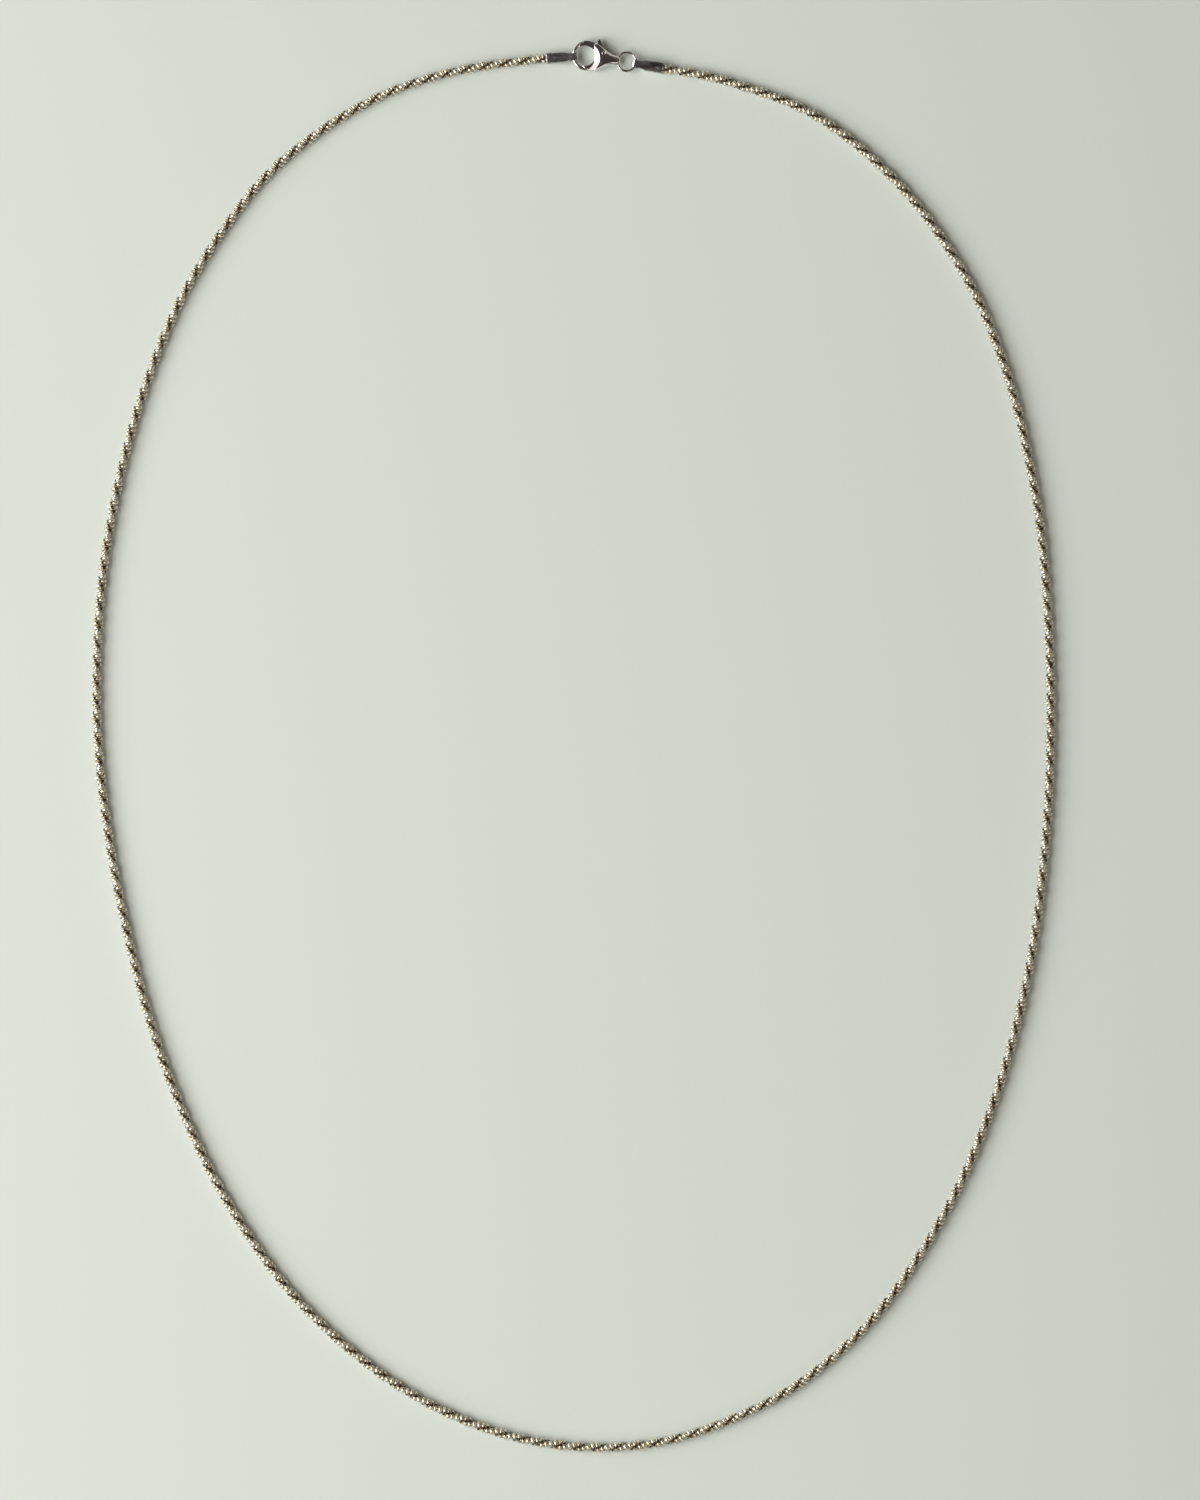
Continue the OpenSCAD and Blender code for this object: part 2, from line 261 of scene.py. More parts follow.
def setFloor():
    bm = bmesh.new()
    bmesh.ops.create_grid(bm, x_segments=1, y_segments=1, size=studio["floorReach"])
    mesh = bpy.data.meshes.new("floor")
    bm.to_mesh(mesh)
    bm.free()
    floor = bpy.data.objects.new("floor", mesh)
    bpy.context.collection.objects.link(floor)
    paint = bpy.data.materials.new("floor")
    paint.use_nodes = True
    shader = paint.node_tree.nodes["Principled BSDF"]
    shader.inputs["Base Color"].default_value = (*studio["floorColour"], 1)
    shader.inputs["Roughness"].default_value = studio["floorRoughness"]
    shader.inputs["Specular IOR Level"].default_value = studio["floorShine"]
    mesh.materials.append(paint)
    print("floor laid")


def setLight():
    for part in ("key", "wall", "card"):
        data = bpy.data.lights.new(part, "AREA")
        data.shape = "RECTANGLE"
        data.size, data.size_y = studio[part + "Size"]
        data.energy = studio[part + "Power"]
        data.color = studio[part + "Colour"]
        lamp = bpy.data.objects.new(part, data)
        bpy.context.collection.objects.link(lamp)
        rise = radians(studio[part + "Height"])
        towards = along(studio[part + "Side"], cos(rise)) + Vector((0, 0, sin(rise)))
        lamp.location = towards * studio[part + "Distance"]
        lamp.rotation_euler = towards.to_track_quat("Z", "Y").to_euler()

    world = bpy.data.worlds.new("room")
    bpy.context.scene.world = world
    world.use_nodes = True
    nodes = world.node_tree.nodes
    links = world.node_tree.links
    where = nodes.new("ShaderNodeTexCoord")
    split = nodes.new("ShaderNodeSeparateXYZ")
    ramp = nodes.new("ShaderNodeValToRGB")
    links.new(where.outputs["Generated"], split.inputs[0])
    links.new(split.outputs["Z"], ramp.inputs["Fac"])
    links.new(ramp.outputs["Color"], nodes["Background"].inputs["Color"])
    ramp.color_ramp.elements[0].position = 0.0
    ramp.color_ramp.elements[0].color = (*studio["skyLow"], 1)
    ramp.color_ramp.elements[1].position = studio["skyTopAt"]
    ramp.color_ramp.elements[1].color = (*studio["skyTop"], 1)
    for part in ("skyMid", "skyHigh"):
        ramp.color_ramp.elements.new(studio[part + "At"]).color = (*studio[part], 1)
    bpy.context.scene.view_settings.view_transform = "Standard"
    print("light set")


# Silver

wear = {
    "dullAt": 0.35,  # of the clouds' noise
    "brightAt": 0.62,
    "cloudDetail": 4,
    "smearFrom": 0.3,
    "smearTo": 0.7,
    "smearDetail": 6,
    "lineDetail": 3,
}


def addNode(tree, kind, **settings):
    node = tree.nodes.new(kind)
    for name, value in settings.items():
        setattr(node, name, value)
    return node


def addNoise(tree, place, scale, detail):
    noise = addNode(tree, "ShaderNodeTexNoise")
    noise.inputs["Scale"].default_value = scale
    noise.inputs["Detail"].default_value = detail
    tree.links.new(place, noise.inputs["Vector"])
    return noise.outputs["Fac"]


def silver(name, look):
    paint = bpy.data.materials.new(name)
    paint.use_nodes = True
    tree = paint.node_tree
    links = tree.links
    shader = tree.nodes["Principled BSDF"]
    shader.inputs["Metallic"].default_value = 1.0
    place = addNode(tree, "ShaderNodeTexCoord").outputs["Object"]

    # Slow change of tone: clean metal against a breath of tarnish
    stretch = addNode(tree, "ShaderNodeMapping")
    stretch.inputs["Scale"].default_value = look["cloudStretch"]
    links.new(place, stretch.inputs["Vector"])
    clouds = addNoise(tree, stretch.outputs["Vector"], look["cloudScale"], wear["cloudDetail"])
    tone = addNode(tree, "ShaderNodeValToRGB")
    for end, part in enumerate(("dull", "bright")):
        tone.color_ramp.elements[end].position = wear[part + "At"]
        tone.color_ramp.elements[end].color = (*look[part], 1)
    links.new(clouds, tone.inputs["Fac"])
    colour = tone.outputs["Color"]

    if "grooveShadeAndTarnish" in look:  # painted shade with some tarnish: the grooves between the strands are painted dark, standing in for the shade that falls there as well as tarnish that polishing doesn't reach
        depth = addNode(tree, "ShaderNodeAttribute", attribute_name="crest")
        deep = addNode(tree, "ShaderNodeMapRange")
        deep.inputs["From Min"].default_value = look["grooveShadeFrom"]
        deep.inputs["From Max"].default_value = look["grooveShadeTo"]
        links.new(depth.outputs["Fac"], deep.inputs["Value"])
        mix = addNode(tree, "ShaderNodeMix", data_type="RGBA")
        mix.inputs["A"].default_value = (*look["grooveShadeAndTarnish"], 1)
        links.new(deep.outputs["Result"], mix.inputs["Factor"])
        links.new(colour, mix.inputs["B"])
        colour = mix.outputs["Result"]
    links.new(colour, shader.inputs["Base Color"])

    # Gloss: smears of handling
    smears = addNoise(tree, place, look["smearScale"], wear["smearDetail"])
    gloss = addNode(tree, "ShaderNodeMapRange")
    gloss.inputs["From Min"].default_value = wear["smearFrom"]
    gloss.inputs["From Max"].default_value = wear["smearTo"]
    gloss.inputs["To Min"].default_value = look["gloss"][0]
    gloss.inputs["To Max"].default_value = look["gloss"][1]
    links.new(smears, gloss.inputs["Value"])
    links.new(gloss.outputs["Result"], shader.inputs["Roughness"])

    # A top worn slightly round, seen in what it mirrors
    crown = None
    if "crownAt" in look:
        away = addNode(tree, "ShaderNodeVectorMath", operation="DISTANCE")
        away.inputs[1].default_value = look["crownAt"]
        links.new(place, away.inputs[0])
        fall = addNode(tree, "ShaderNodeMapRange", interpolation_type="SMOOTHSTEP")
        fall.inputs["From Min"].default_value = look["crownFrom"]
        fall.inputs["From Max"].default_value = look["crownTo"]
        links.new(away.outputs["Value"], fall.inputs["Value"])
        crown = addNode(tree, "ShaderNodeBump")
        crown.inputs["Distance"].default_value = look["crownDepth"]
        links.new(fall.outputs["Result"], crown.inputs["Height"])

    # Fine polishing lines
    turn = addNode(tree, "ShaderNodeMapping")
    turn.inputs["Rotation"].default_value = (0, 0, radians(look["lineTurn"]))
    turn.inputs["Scale"].default_value = look["lineScale"]
    links.new(place, turn.inputs["Vector"])
    lines = addNoise(tree, turn.outputs["Vector"], 1, wear["lineDetail"])
    bump = addNode(tree, "ShaderNodeBump")
    bump.inputs["Strength"].default_value = look["lineStrength"]
    bump.inputs["Distance"].default_value = look["lineDepth"]
    links.new(lines, bump.inputs["Height"])
    if crown:
        links.new(crown.outputs["Normal"], bump.inputs["Normal"])
    links.new(bump.outputs["Normal"], shader.inputs["Normal"])
    return paint


ropeLook = {
    "bright": (0.95, 0.90, 0.765),
    "dull": (0.88, 0.80, 0.65),
    # colour painted into the grooves between the strands: painted shade, with some tarnish
    "grooveShadeAndTarnish": (0.07, 0.05, 0.035),
    "grooveShadeFrom": 0.25,
    "grooveShadeTo": 0.62,
    "cloudScale": 260,
    "cloudStretch": (1, 1, 1),
    "smearScale": 900,
    "gloss": (0.26, 0.42),
    "lineTurn": 20,
    "lineScale": (9000, 2500, 9000),
    "lineStrength": 0.25,
    "lineDepth": 0.00001,
}

capLook = {
    "bright": (0.86, 0.88, 0.87),
    "dull": (0.30, 0.30, 0.29),
    "cloudScale": 900,
    "cloudStretch": (0.22, 1.4, 1),
    "smearScale": 1400,
    "gloss": (0.14, 0.30),
    "lineTurn": -8,
    "lineScale": (1500, 14000, 9000),
    "lineStrength": 0.3,
    "lineDepth": 0.00001,
}

ringLook = {
    "bright": (0.74, 0.72, 0.68),
    "dull": (0.42, 0.40, 0.37),
    "cloudScale": 800,
    "cloudStretch": (1, 1, 1),
    "smearScale": 1500,
    "gloss": (0.08, 0.2),
    "lineTurn": 35,
    "lineScale": (8000, 8000, 8000),
    "lineStrength": 0.15,
    "lineDepth": 0.000006,
}

claspLook = {
    "bright": (0.88, 0.87, 0.85),
    "dull": (0.70, 0.685, 0.66),
    "cloudScale": 600,
    "cloudStretch": (1, 1, 1),
    "crownAt": (0.00170, 0.1113, 0.002),  # middle of the slope round the opening
    "crownFrom": 0.0020,
    "crownTo": 0.0036,
    "crownDepth": 0.00013,
    "smearScale": 1200,
    "gloss": (0.06, 0.18),
    "lineTurn": -10,
    "lineScale": (2500, 10000, 10000),
    "lineStrength": 0.2,
    "lineDepth": 0.000008,
}


# Mesh helpers

def shown(mesh, name, finish, nodes, body="necklace"):
    piece = bpy.data.objects.new(name, mesh)
    bpy.context.collection.objects.link(piece)
    mesh.materials.clear()
    mesh.materials.append(finish)
    mesh.shade_smooth()
    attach(piece, body)
    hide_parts(*nodes)
    print(name, len(mesh.polygons), "faces")
    return piece


def rough(bm, name):  # a working shape, in millimetres
    bmesh.ops.remove_doubles(bm, verts=bm.verts, dist=1e-5)
    bmesh.ops.recalc_face_normals(bm, faces=bm.faces)
    mesh = bpy.data.meshes.new(name)
    bm.to_mesh(mesh)
    bm.free()
    shape = bpy.data.objects.new(name, mesh)
    bpy.context.collection.objects.link(shape)
    return shape


def settle(shape):  # bakes a shape's modifiers into its mesh
    graph = bpy.context.evaluated_depsgraph_get()
    baked = bpy.data.meshes.new_from_object(shape.evaluated_get(graph))
    shape.modifiers.clear()
    shape.data = baked


def combine(shape, tools, how):
    for tool in tools:
        cut = shape.modifiers.new(how, "BOOLEAN")
        cut.operation = how
        cut.object = tool
        cut.solver = "EXACT"
    settle(shape)
    for tool in tools:
        bpy.data.objects.remove(tool)
    return shape


def cast(shape, piece):
    # A casting after tumbling: one skin with softened edges
    skin = shape.modifiers.new("skin", "REMESH")
    skin.mode = "VOXEL"
    skin.voxel_size = piece["cast"]
    tumble = shape.modifiers.new("tumble", "SMOOTH")
    tumble.factor = 0.5
    tumble.iterations = piece["tumbling"]
    thin = shape.modifiers.new("thin", "DECIMATE")
    thin.ratio = piece["kept"]
    settle(shape)


def place(shape, turn, at):
    move = Matrix.Translation(Vector(at) * mm) @ Matrix.Rotation(radians(turn), 4, "Z") @ Matrix.Scale(mm, 4)
    mesh = shape.data
    mesh.transform(move)
    bpy.data.objects.remove(shape)
    return mesh


def swing(bm, vert, centre, angle, steps):
    # Draws an arc from a vertex round a centre and gives back its last vertex
    made = bmesh.ops.spin(bm, geom=[vert], cent=(*centre, 0), axis=(0, 0, 1),
                          angle=radians(angle), steps=steps)
    return [v for v in made["geom_last"] if isinstance(v, bmesh.types.BMVert)][0]


def slab(corners, thickness, name):
    # A flat outline given a thickness about its own plane
    bm = bmesh.new()
    verts = [bm.verts.new((x, y, -thickness / 2)) for x, y in corners]
    face = bm.faces.new(verts)
    up = bmesh.ops.extrude_face_region(bm, geom=[face])
    moved = [v for v in up["geom"] if isinstance(v, bmesh.types.BMVert)]
    bmesh.ops.translate(bm, verts=moved, vec=(0, 0, thickness))
    return rough(bm, name)


def drum(radius, height, name, at=(0, 0, 0), top=None, sides=128):
    bm = bmesh.new()
    bmesh.ops.create_cone(bm, cap_ends=True, segments=sides, radius1=radius,
                          radius2=radius if top is None else top, depth=height)
    bmesh.ops.translate(bm, verts=bm.verts, vec=at)
    return rough(bm, name)


def wireLoop(middle, radius, steps, sides, name, tall=0.0, start=0.0, at=(0, 0, 0)):
    # A ring of round wire; tall moves its halves apart, start turns its section
    bm = bmesh.new()
    bmesh.ops.create_circle(bm, segments=sides, radius=radius)
    upright = Matrix.Rotation(pi / 2, 3, "X") @ Matrix.Rotation(start, 3, "Z")
    bmesh.ops.rotate(bm, verts=bm.verts, cent=(0, 0, 0), matrix=upright)
    for half in (-1, 1):
        side = [v for v in bm.verts if v.co.z * half > 1e-6]
        bmesh.ops.translate(bm, verts=side, vec=(0, 0, half * tall / 2))
    bmesh.ops.translate(bm, verts=bm.verts, vec=(middle, 0, 0))
    bmesh.ops.spin(bm, geom=bm.verts[:] + bm.edges[:], cent=(0, 0, 0), axis=(0, 0, 1),
                   angle=2 * pi, steps=steps, use_merge=True)
    bmesh.ops.translate(bm, verts=bm.verts, vec=at)
    return rough(bm, name)


# Rope

def curvePoint(a, b, c, d, t):
    line = 2 * b + (c - a) * t + (2 * a - 5 * b + 4 * c - d) * t * t + (3 * b - a - 3 * c + d) * t ** 3
    return line / 2


def ropeLine():
    # Points along the rope's middle with the run so far, from inside the left cap to inside the right
    start = leftMouth + leftOut * rope["freeAfter"]
    end = rightMouth + rightOut * rope["freeAfter"]
    points = [start] + [Vector((x, y, 0)) for x, y in route] + [end]
    before = start - leftOut * (points[1] - start).length
    after = end - rightOut * (end - points[-2]).length
    lead = [before] + points + [after]
    line = [leftMouth - leftOut * rope["inCap"]]
    for i in range(1, len(lead) - 2):
        for k in range(rope["between"]):
            line.append(curvePoint(*lead[i - 1:i + 3], k / rope["between"]))
    line += [end, rightMouth - rightOut * rope["inCap"]]
    runs = [0.0]
    for a, b in zip(line, line[1:]):
        runs.append(runs[-1] + (b - a).length)
    return line, runs


def linkPlaces():
    line, runs = ropeLine()
    total = runs[-1]
    capZ = cap["width"] / 2
    freeZ = rope["diameter"] / 2
    chance = Random(rope["seed"])
    places = []
    s = rope["endRoom"]
    i = 0
    k = 0
    while s < total - rope["endRoom"]:
        while runs[k + 1] < s:
            k += 1
        part = (s - runs[k]) / (runs[k + 1] - runs[k])
        point = line[k].lerp(line[k + 1], part)
        ahead = (line[k + 1] - line[k]).normalized()
        outOfCap = min(s, total - s) - rope["inCap"]
        free = min(max(outOfCap / rope["freeAfter"], 0), 1)
        free = free * free * (3 - 2 * free)
        size = rope["squeezed"] + (1 - rope["squeezed"]) * free
        point.z = capZ + (freeZ - capZ) * free

        turn = i * pi - 2 * pi * i * rope["step"] / rope["twist"]
        turn += radians(chance.uniform(-1, 1) * rope["unevenTurn"])
        lean = radians(rope["lean"] + chance.uniform(-1, 1) * rope["unevenTurn"])
        up = Vector((0, 0, 1))
        beside = up.cross(ahead)
        outward = beside * cos(turn) + up * sin(turn)
        around = up * cos(turn) - beside * sin(turn)
        inLink = ahead * cos(lean) + around * sin(lean)
        square = Matrix((outward, inLink, outward.cross(inLink))).transposed().to_4x4()
        centre = point + outward * rope["offAxis"] * size
        size *= 1 - chance.random() * rope["unevenSize"]
        places.append(Matrix.Translation(centre * mm) @ square @ Matrix.Scale(size * mm, 4))
        s += rope["step"] * size
        i += 1
    return places


def buildRope(finish):
    link = wireLoop(rope["ringRadius"], rope["wire"] / 2, rope["roundSides"], rope["wireSides"], "link",
                    tall=rope["wireWidth"] - rope["wire"], start=pi / 6)
    lean = radians(rope["lean"])
    crest = []
    for v in link.data.vertices:
        # 1 on the crest of a strand, 0 in the groove between both strands; towards 0 the rope's colour is
        # darkened with painted shade and tarnish
        turn = atan2(v.co.y * sin(lean), v.co.x + rope["offAxis"])
        turn += 2 * pi * v.co.y * cos(lean) / rope["twist"]
        crest.append(abs(cos(turn)))
    places = linkPlaces()
    each = len(places) / rope["pieces"]
    for part in range(rope["pieces"]):
        own = places[round(part * each):round((part + 1) * each)]
        bm = bmesh.new()
        for move in own:
            one = link.data.copy()
            one.transform(move)
            bm.from_mesh(one)
            bpy.data.meshes.remove(one)
        mesh = bpy.data.meshes.new(f"rope_links_{part + 1}")
        bm.to_mesh(mesh)
        bm.free()
        depth = mesh.attributes.new("crest", "FLOAT", "POINT")
        depth.data.foreach_set("value", crest * len(own))
        shown(mesh, mesh.name, finish, ["rope_chain"])
    bpy.data.objects.remove(link)
    print("rope of", len(places), "links")


# End caps

def roundedRect(width, height, radius, sides, name, depth, axis):
    # A bar with a rounded rectangle for its section, along X or Y
    bm = bmesh.new()
    bmesh.ops.create_cube(bm, size=1)
    size = (depth, width, height) if axis == "X" else (width, depth, height)
    bmesh.ops.scale(bm, verts=bm.verts, vec=size)
    run = Vector((1, 0, 0)) if axis == "X" else Vector((0, 1, 0))
    edges = [e for e in bm.edges if abs((e.verts[1].co - e.verts[0].co).normalized().dot(run)) > 0.9]
    bmesh.ops.bevel(bm, geom=edges, offset=radius, offset_type="OFFSET", affect="EDGES",
                    segments=sides, profile=0.5, material=-1)
    return rough(bm, name)


def buildCap(name, finish, held, fold, turn):
    long = cap["length"]
    wide = cap["width"]
    eyeFrom = cap["stripThickness"]
    eyeTo = eyeFrom + cap["eye"]
    shoulder = long - cap["barrel"]
    half = cap["stripWidth"] / 2
    cutWide = wide / 2 + cap["spare"]
    corners = cap["cornerSides"]

    shape = roundedRect(wide, wide, cap["corner"], corners, "capStock", long, "X")
    shape.data.transform(Matrix.Translation((long / 2, 0, 0)))
    edge = [(-1, half), (eyeTo, half), (shoulder, cutWide), (long + 1, cutWide)]
    plan = slab([(x, -y) for x, y in edge] + edge[::-1], 2 * wide, "capPlan")
    side = roundedRect(2 * long, wide, cap["fold"] + eyeFrom, corners, "capSide", 2 * wide, "Y")
    side.data.transform(Matrix.Translation((long, 0, 0)))
    combine(shape, [plan, side], "INTERSECT")
    eye = roundedRect(cap["eye"], wide - 2 * eyeFrom, cap["fold"], cap["eyeSides"], "capEye", 2 * wide, "Y")
    eye.data.transform(Matrix.Translation((eyeFrom + cap["eye"] / 2, 0, 0)))
    bore = drum(cap["boreRadius"], cap["boreDepth"] + 1, "capBore")
    bore.data.transform(Matrix.Rotation(pi / 2, 4, "Y"))
    bore.data.transform(Matrix.Translation((long + (1 - cap["boreDepth"]) / 2, 0, 0)))
    combine(shape, [eye, bore], "DIFFERENCE")
    cast(shape, cap)
    shape.data.transform(Matrix.Translation((-fold - eyeFrom, 0, 0)))
    mesh = place(shape, turn, (held.x, held.y, wide / 2))
    shown(mesh, name + "_silver", finish, [name])


# Jump ring

def buildJumpRing(finish):
    shape = wireLoop(jumpMiddle, jumpRing["wire"] / 2, jumpRing["steps"], jumpRing["wireSides"], "jumpWire")
    mesh = place(shape, 0, (jumpCentre.x, jumpCentre.y, lay["claspHeight"]))
    shown(mesh, "jump_ring_wire", finish, ["jump_ring"])


# Clasp, drawn about the hook's centre with the tail along X

def onPivot(angle, radius):
    turned = along(angle, radius)
    return (clasp["pivot"][0] + turned.x, clasp["pivot"][1] + turned.y)


def atHook(angle, radius):
    turned = along(angle, radius)
    return (turned.x, turned.y)


def wedge(start, end, thickness, name):
    far = 2 * clasp["hookRadius"]
    corners = [(0, 0)] + [atHook(start + (end - start) * k / 6, far) for k in range(7)]
    return slab(corners, thickness, name)


def rimOf(inner, outer, thickness, name):
    wall = outer - inner
    return wireLoop(inner + wall / 2, wall / 2, 160, 32, name, tall=thickness - wall)


def gateRoom(start, end, play, name):
    # All that the gate takes up round the hook: everything up to the lip, and a thinner tongue below it
    tall = 3 * clasp["hookThickness"]
    pivot = (*clasp["pivot"], 0)
    near = drum(lever["gateReach"] - lever["lipLength"] + play, tall, name, at=pivot,
                sides=clasp["roundSides"])
    tongue = drum(lever["gateReach"] + play, tall, "tongue", at=pivot, sides=clasp["roundSides"])
    under = drum(clasp["hookRadius"] - lever["lipThickness"] + play, tall, "under", sides=clasp["roundSides"])
    combine(tongue, [under], "INTERSECT")
    combine(near, [tongue], "UNION")
    combine(near, [wedge(start, end, 2 * tall, "gateWedge")], "INTERSECT")
    return near


def leverOutline():
    pivotX, pivotY = clasp["pivot"]
    nubX = pivotX - lever["nubBack"]
    nubHalf = lever["nubWidth"] / 2
    nubTop = clasp["hookRadius"] + lever["nubHeight"]
    foot = (pivotX - lever["footBack"], pivotY + lever["bossRadius"] + lever["footRise"])
    return nubX, nubHalf, nubTop, foot


def armMeetsThroat():
    return Vector(clasp["throatAt"]) + Vector(atHook(clasp["throatEdge"], clasp["throatRadius"]))


def bodyProfile():
    # Half of the body's outline, drawn arc by arc: full part, hollow flank, round tail
    run = clasp["tailX"] + clasp["tailRadius"] / 2 - clasp["bodyX"]
    flankRadius = (run ** 2 + clasp["tailRadius"] ** 2 - clasp["bodyRadius"] ** 2)
    flankRadius /= 2 * (clasp["bodyRadius"] - clasp["tailRadius"])
    flankAt = Vector((clasp["bodyX"] + run, clasp["tailRadius"] + flankRadius))
    past = flankAt.x - clasp["tailEnd"]
    endRadius = (past ** 2 + flankAt.y ** 2 - flankRadius ** 2) / (2 * (flankRadius - past))
    endAt = Vector((clasp["tailEnd"] - endRadius, 0))
    headAt = Vector((clasp["bodyX"], 0))
    toHead = headAt - flankAt
    toEnd = endAt - flankAt
    headTurn = degrees(atan2(-toHead.y, -toHead.x))
    endTurn = degrees(atan2(-toEnd.y, -toEnd.x))
    bm = bmesh.new()
    first = bm.verts.new((headAt.x - clasp["bodyRadius"], 0, 0))
    tip = swing(bm, first, headAt, headTurn - 180, 72)
    tip = swing(bm, tip, flankAt, endTurn - headTurn, 60)
    swing(bm, tip, endAt, -endTurn, 28)
    return bm


def buildClaspBody(finish):
    bm = bodyProfile()
    bmesh.ops.spin(bm, geom=bm.verts[:] + bm.edges[:], cent=(0, 0, 0), axis=(1, 0, 0),
                   angle=2 * pi, steps=128, use_merge=True)
    body = rough(bm, "claspBody")
    half = clasp["bodyThickness"] / 2
    tailHalf = clasp["tailRadius"] - lever["skin"]
    top = [(-3, half), (clasp["fullTo"], half), (clasp["tailX"], tailHalf), (clasp["tailEnd"] + 1, tailHalf)]
    side = slab(top + [(x, -z) for x, z in reversed(top)], 10, "claspSide")
    side.data.transform(Matrix.Rotation(pi / 2, 4, "X"))
    combine(body, [side], "INTERSECT")

    opening = [drum(clasp["throatRadius"], 5, "throat", at=(*clasp["throatAt"], 0),
                    sides=clasp["roundSides"])]
    wide = clasp["slopeRadius"] + clasp["slopeWidth"]
    narrow = clasp["slopeRadius"] - clasp["slopeWidth"]
    for lower, upper, z in ((narrow, wide, half), (wide, narrow, -half)):
        opening.append(drum(lower, 2 * clasp["slopeFall"], "slope", at=(*clasp["slopeAt"], z),
                            top=upper, sides=clasp["roundSides"]))
    far = 2 * clasp["hookRadius"]
    cheek = slab([(clasp["cheekX"] - far, 0), (clasp["cheekX"], 0), (clasp["cheekX"], far),
                  (clasp["cheekX"] - far, far)], 5, "cheekEnd")
    combine(body, opening + [cheek], "DIFFERENCE")

    hook = rimOf(clasp["openingRadius"], clasp["hookRadius"], clasp["hookThickness"], "hookRim")
    taken = gateRoom(clasp["gateRoomFrom"], clasp["gateRoomTo"], lever["gateGap"], "gateRoom")
    combine(hook, [taken], "DIFFERENCE")
    combine(body, [hook], "UNION")

    _, _, nubTop, foot = leverOutline()
    play = (clasp["slotThickness"] - lever["thickness"]) / 2
    pivot = Vector(clasp["pivot"])
    swung = pivot + Matrix.Rotation(radians(lever["swing"]), 2) @ (armMeetsThroat() - pivot)
    floorAt = (swung.x, swung.y - play)
    back = (foot[0] + clasp["slotBack"] * play, foot[1] + play)
    slot = slab([tuple(pivot), onPivot(clasp["slotFrom"], clasp["slotRadius"]), back, (back[0], nubTop + 1),
                 (0, nubTop + 1), (0, floorAt[1]), floorAt, onPivot(clasp["slotTo"], clasp["slotRadius"])],
                clasp["slotThickness"], "slot")
    slotEnd = drum(clasp["slotRadius"], clasp["slotThickness"], "slotEnd", at=(*pivot, 0))
    rivetHole = drum(clasp["rivetHole"] / 2, 5, "rivetHole", at=(*pivot, 0), sides=clasp["holeSides"])
    wireHole = wireLoop(jumpMiddle, jumpRing["wire"] / 2 + jumpRing["play"], jumpRing["holeSteps"],
                        jumpRing["holeSides"], "wireHole", at=(jumpMiddle, 0, 0))
    turned = Matrix.Rotation(radians(lay["jumpTurn"] - lay["claspTurn"]), 4, "Z")
    wireHole.data.transform(Matrix.Translation((clasp["tailX"], 0, 0)) @ turned)
    combine(body, [slot, slotEnd, rivetHole, wireHole], "DIFFERENCE")
    cast(body, clasp)
    mesh = place(body, lay["claspTurn"], (hookCentre.x, hookCentre.y, lay["claspHeight"]))
    shown(mesh, "clasp_body_cast", finish, ["clasp_body"])


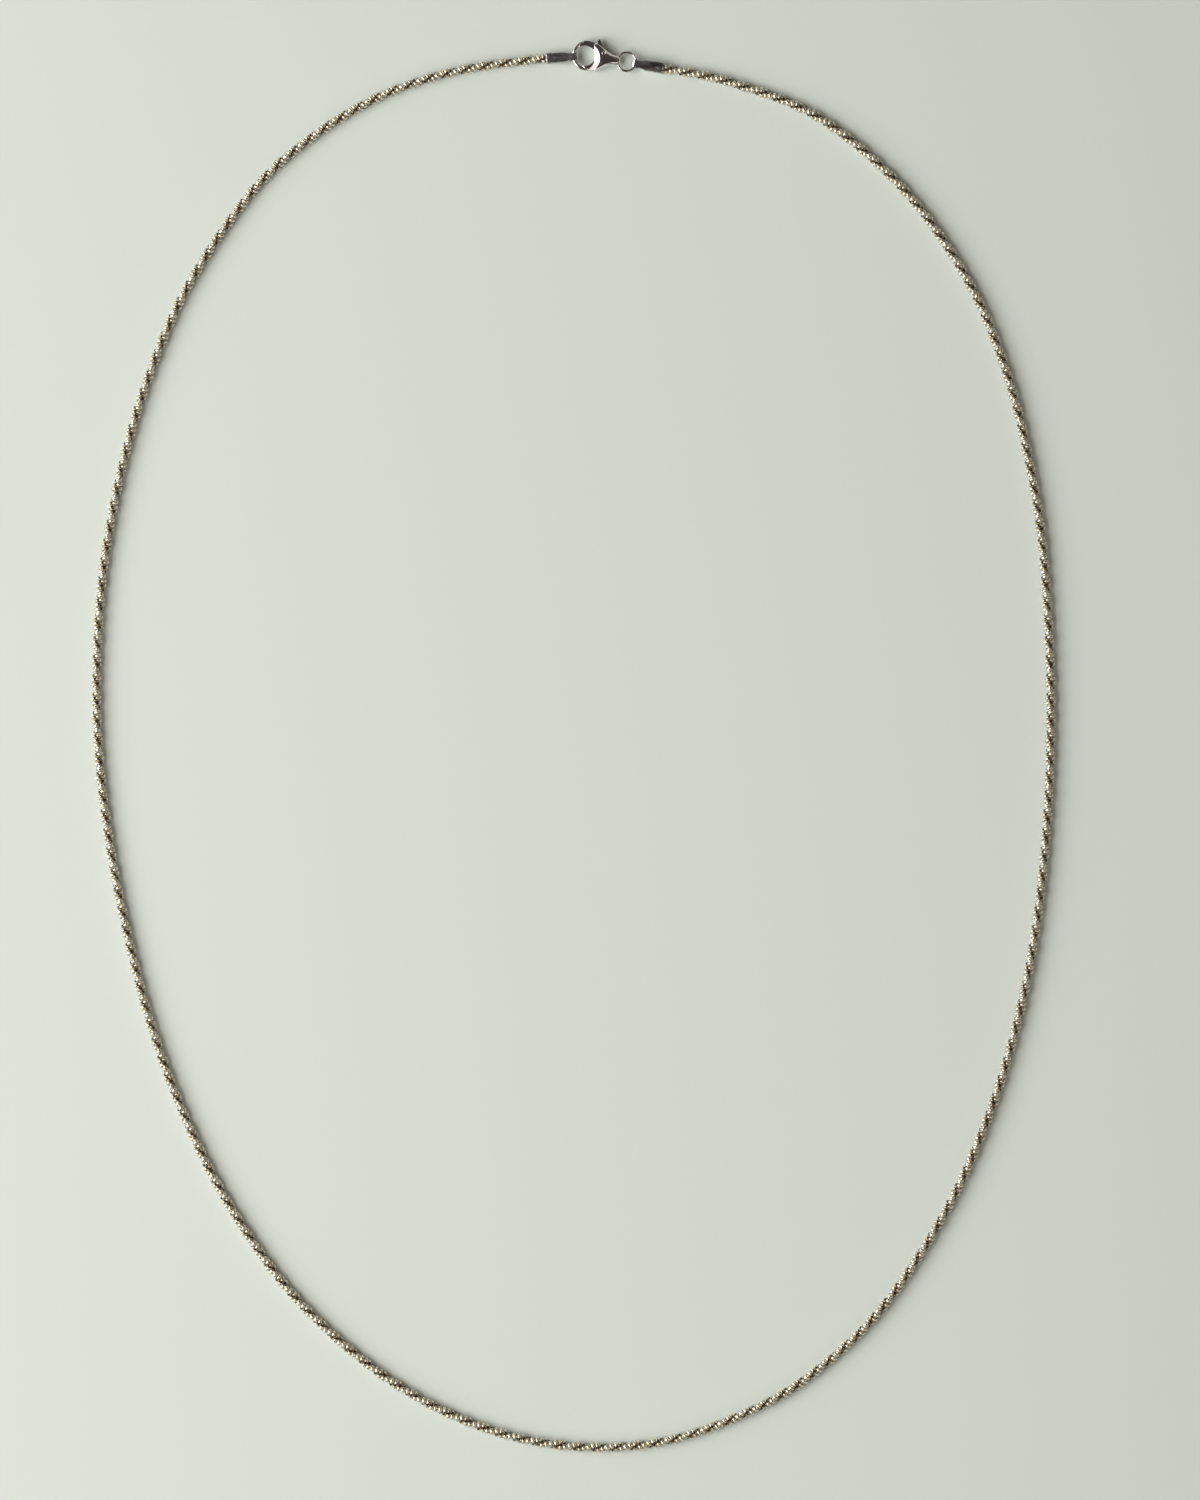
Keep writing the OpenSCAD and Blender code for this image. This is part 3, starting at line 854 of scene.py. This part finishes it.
def buildLever(finish):
    nubX, nubHalf, nubTop, foot = leverOutline()
    pivot = Vector(clasp["pivot"])
    skin = lever["skin"]
    thick = lever["thickness"]
    arm = slab([tuple(pivot), onPivot(lever["armFrom"], lever["bossRadius"]), foot,
                (nubX + nubHalf, nubTop - nubHalf), (nubX - nubHalf, nubTop - nubHalf),
                (nubX - nubHalf - lever["nubFlare"], hookMiddle),
                atHook(lever["armOverlap"], clasp["hookRadius"] - skin),
                atHook(lever["armOverlap"], clasp["openingRadius"] / 2),
                tuple(armMeetsThroat()), onPivot(lever["armTo"], lever["bossRadius"])], thick, "leverArm")
    tip = drum(nubHalf, thick, "nubTip", at=(nubX, nubTop - nubHalf, 0), sides=clasp["holeSides"])
    boss = drum(lever["bossRadius"], thick, "boss", at=(*pivot, 0), sides=lever["bossSides"])
    gate = drum(clasp["hookRadius"] - skin, thick, "gate", sides=clasp["roundSides"])
    combine(gate, [gateRoom(lever["gateFrom"], clasp["gateRoomTo"], 0, "gateTaken")], "INTERSECT")
    combine(arm, [tip, boss, gate], "UNION")
    throat = drum(clasp["throatRadius"] + skin, 5, "gateThroat", at=(*clasp["throatAt"], 0),
                  sides=clasp["roundSides"])
    hookOpening = drum(clasp["openingRadius"] + skin, 6, "hookOpening", sides=clasp["roundSides"])
    combine(throat, [hookOpening], "INTERSECT")
    hole = drum(clasp["rivetHole"] / 2, 5, "leverHole", at=(*pivot, 0), sides=clasp["holeSides"])
    combine(arm, [throat, hole], "DIFFERENCE")
    cast(arm, lever)
    mesh = place(arm, lay["claspTurn"], (hookCentre.x, hookCentre.y, lay["claspHeight"]))
    shown(mesh, "clasp_lever_cast", finish, ["clasp_lever"], body="lever")


rivet = {
    "diameter": 0.5,
    "length": 2.0,
    "edge": 0.02,
    "sides": 32,
    "edgeSides": 4,
}


def buildRivet(finish):
    bm = bmesh.new()
    radius = rivet["diameter"] / 2
    bmesh.ops.create_cone(bm, cap_ends=True, segments=rivet["sides"], radius1=radius, radius2=radius,
                          depth=rivet["length"])
    rims = [e for e in bm.edges if abs(e.verts[0].co.z - e.verts[1].co.z) < 1e-6]
    bmesh.ops.bevel(bm, geom=rims, offset=rivet["edge"], offset_type="OFFSET", affect="EDGES",
                    segments=rivet["edgeSides"], profile=0.5, material=-1)
    bmesh.ops.translate(bm, verts=bm.verts, vec=(*clasp["pivot"], 0))
    shape = rough(bm, "rivetPin")
    mesh = place(shape, lay["claspTurn"], (hookCentre.x, hookCentre.y, lay["claspHeight"]))
    shown(mesh, "clasp_rivet_pin", finish, ["clasp_rivet"])


setCamera()
setFloor()
setLight()
buildRope(silver("ropeSilver", ropeLook))
capSilver = silver("capSilver", capLook)
buildCap("end_cap_left", capSilver, leftHeld, leftFold, lay["leftTurn"] + 180)
buildCap("end_cap_right", capSilver, rightHeld, rightFold, lay["rightTurn"])
buildJumpRing(silver("ringSilver", ringLook))
claspSilver = silver("claspSilver", claspLook)
buildClaspBody(claspSilver)
buildLever(claspSilver)
buildRivet(claspSilver)
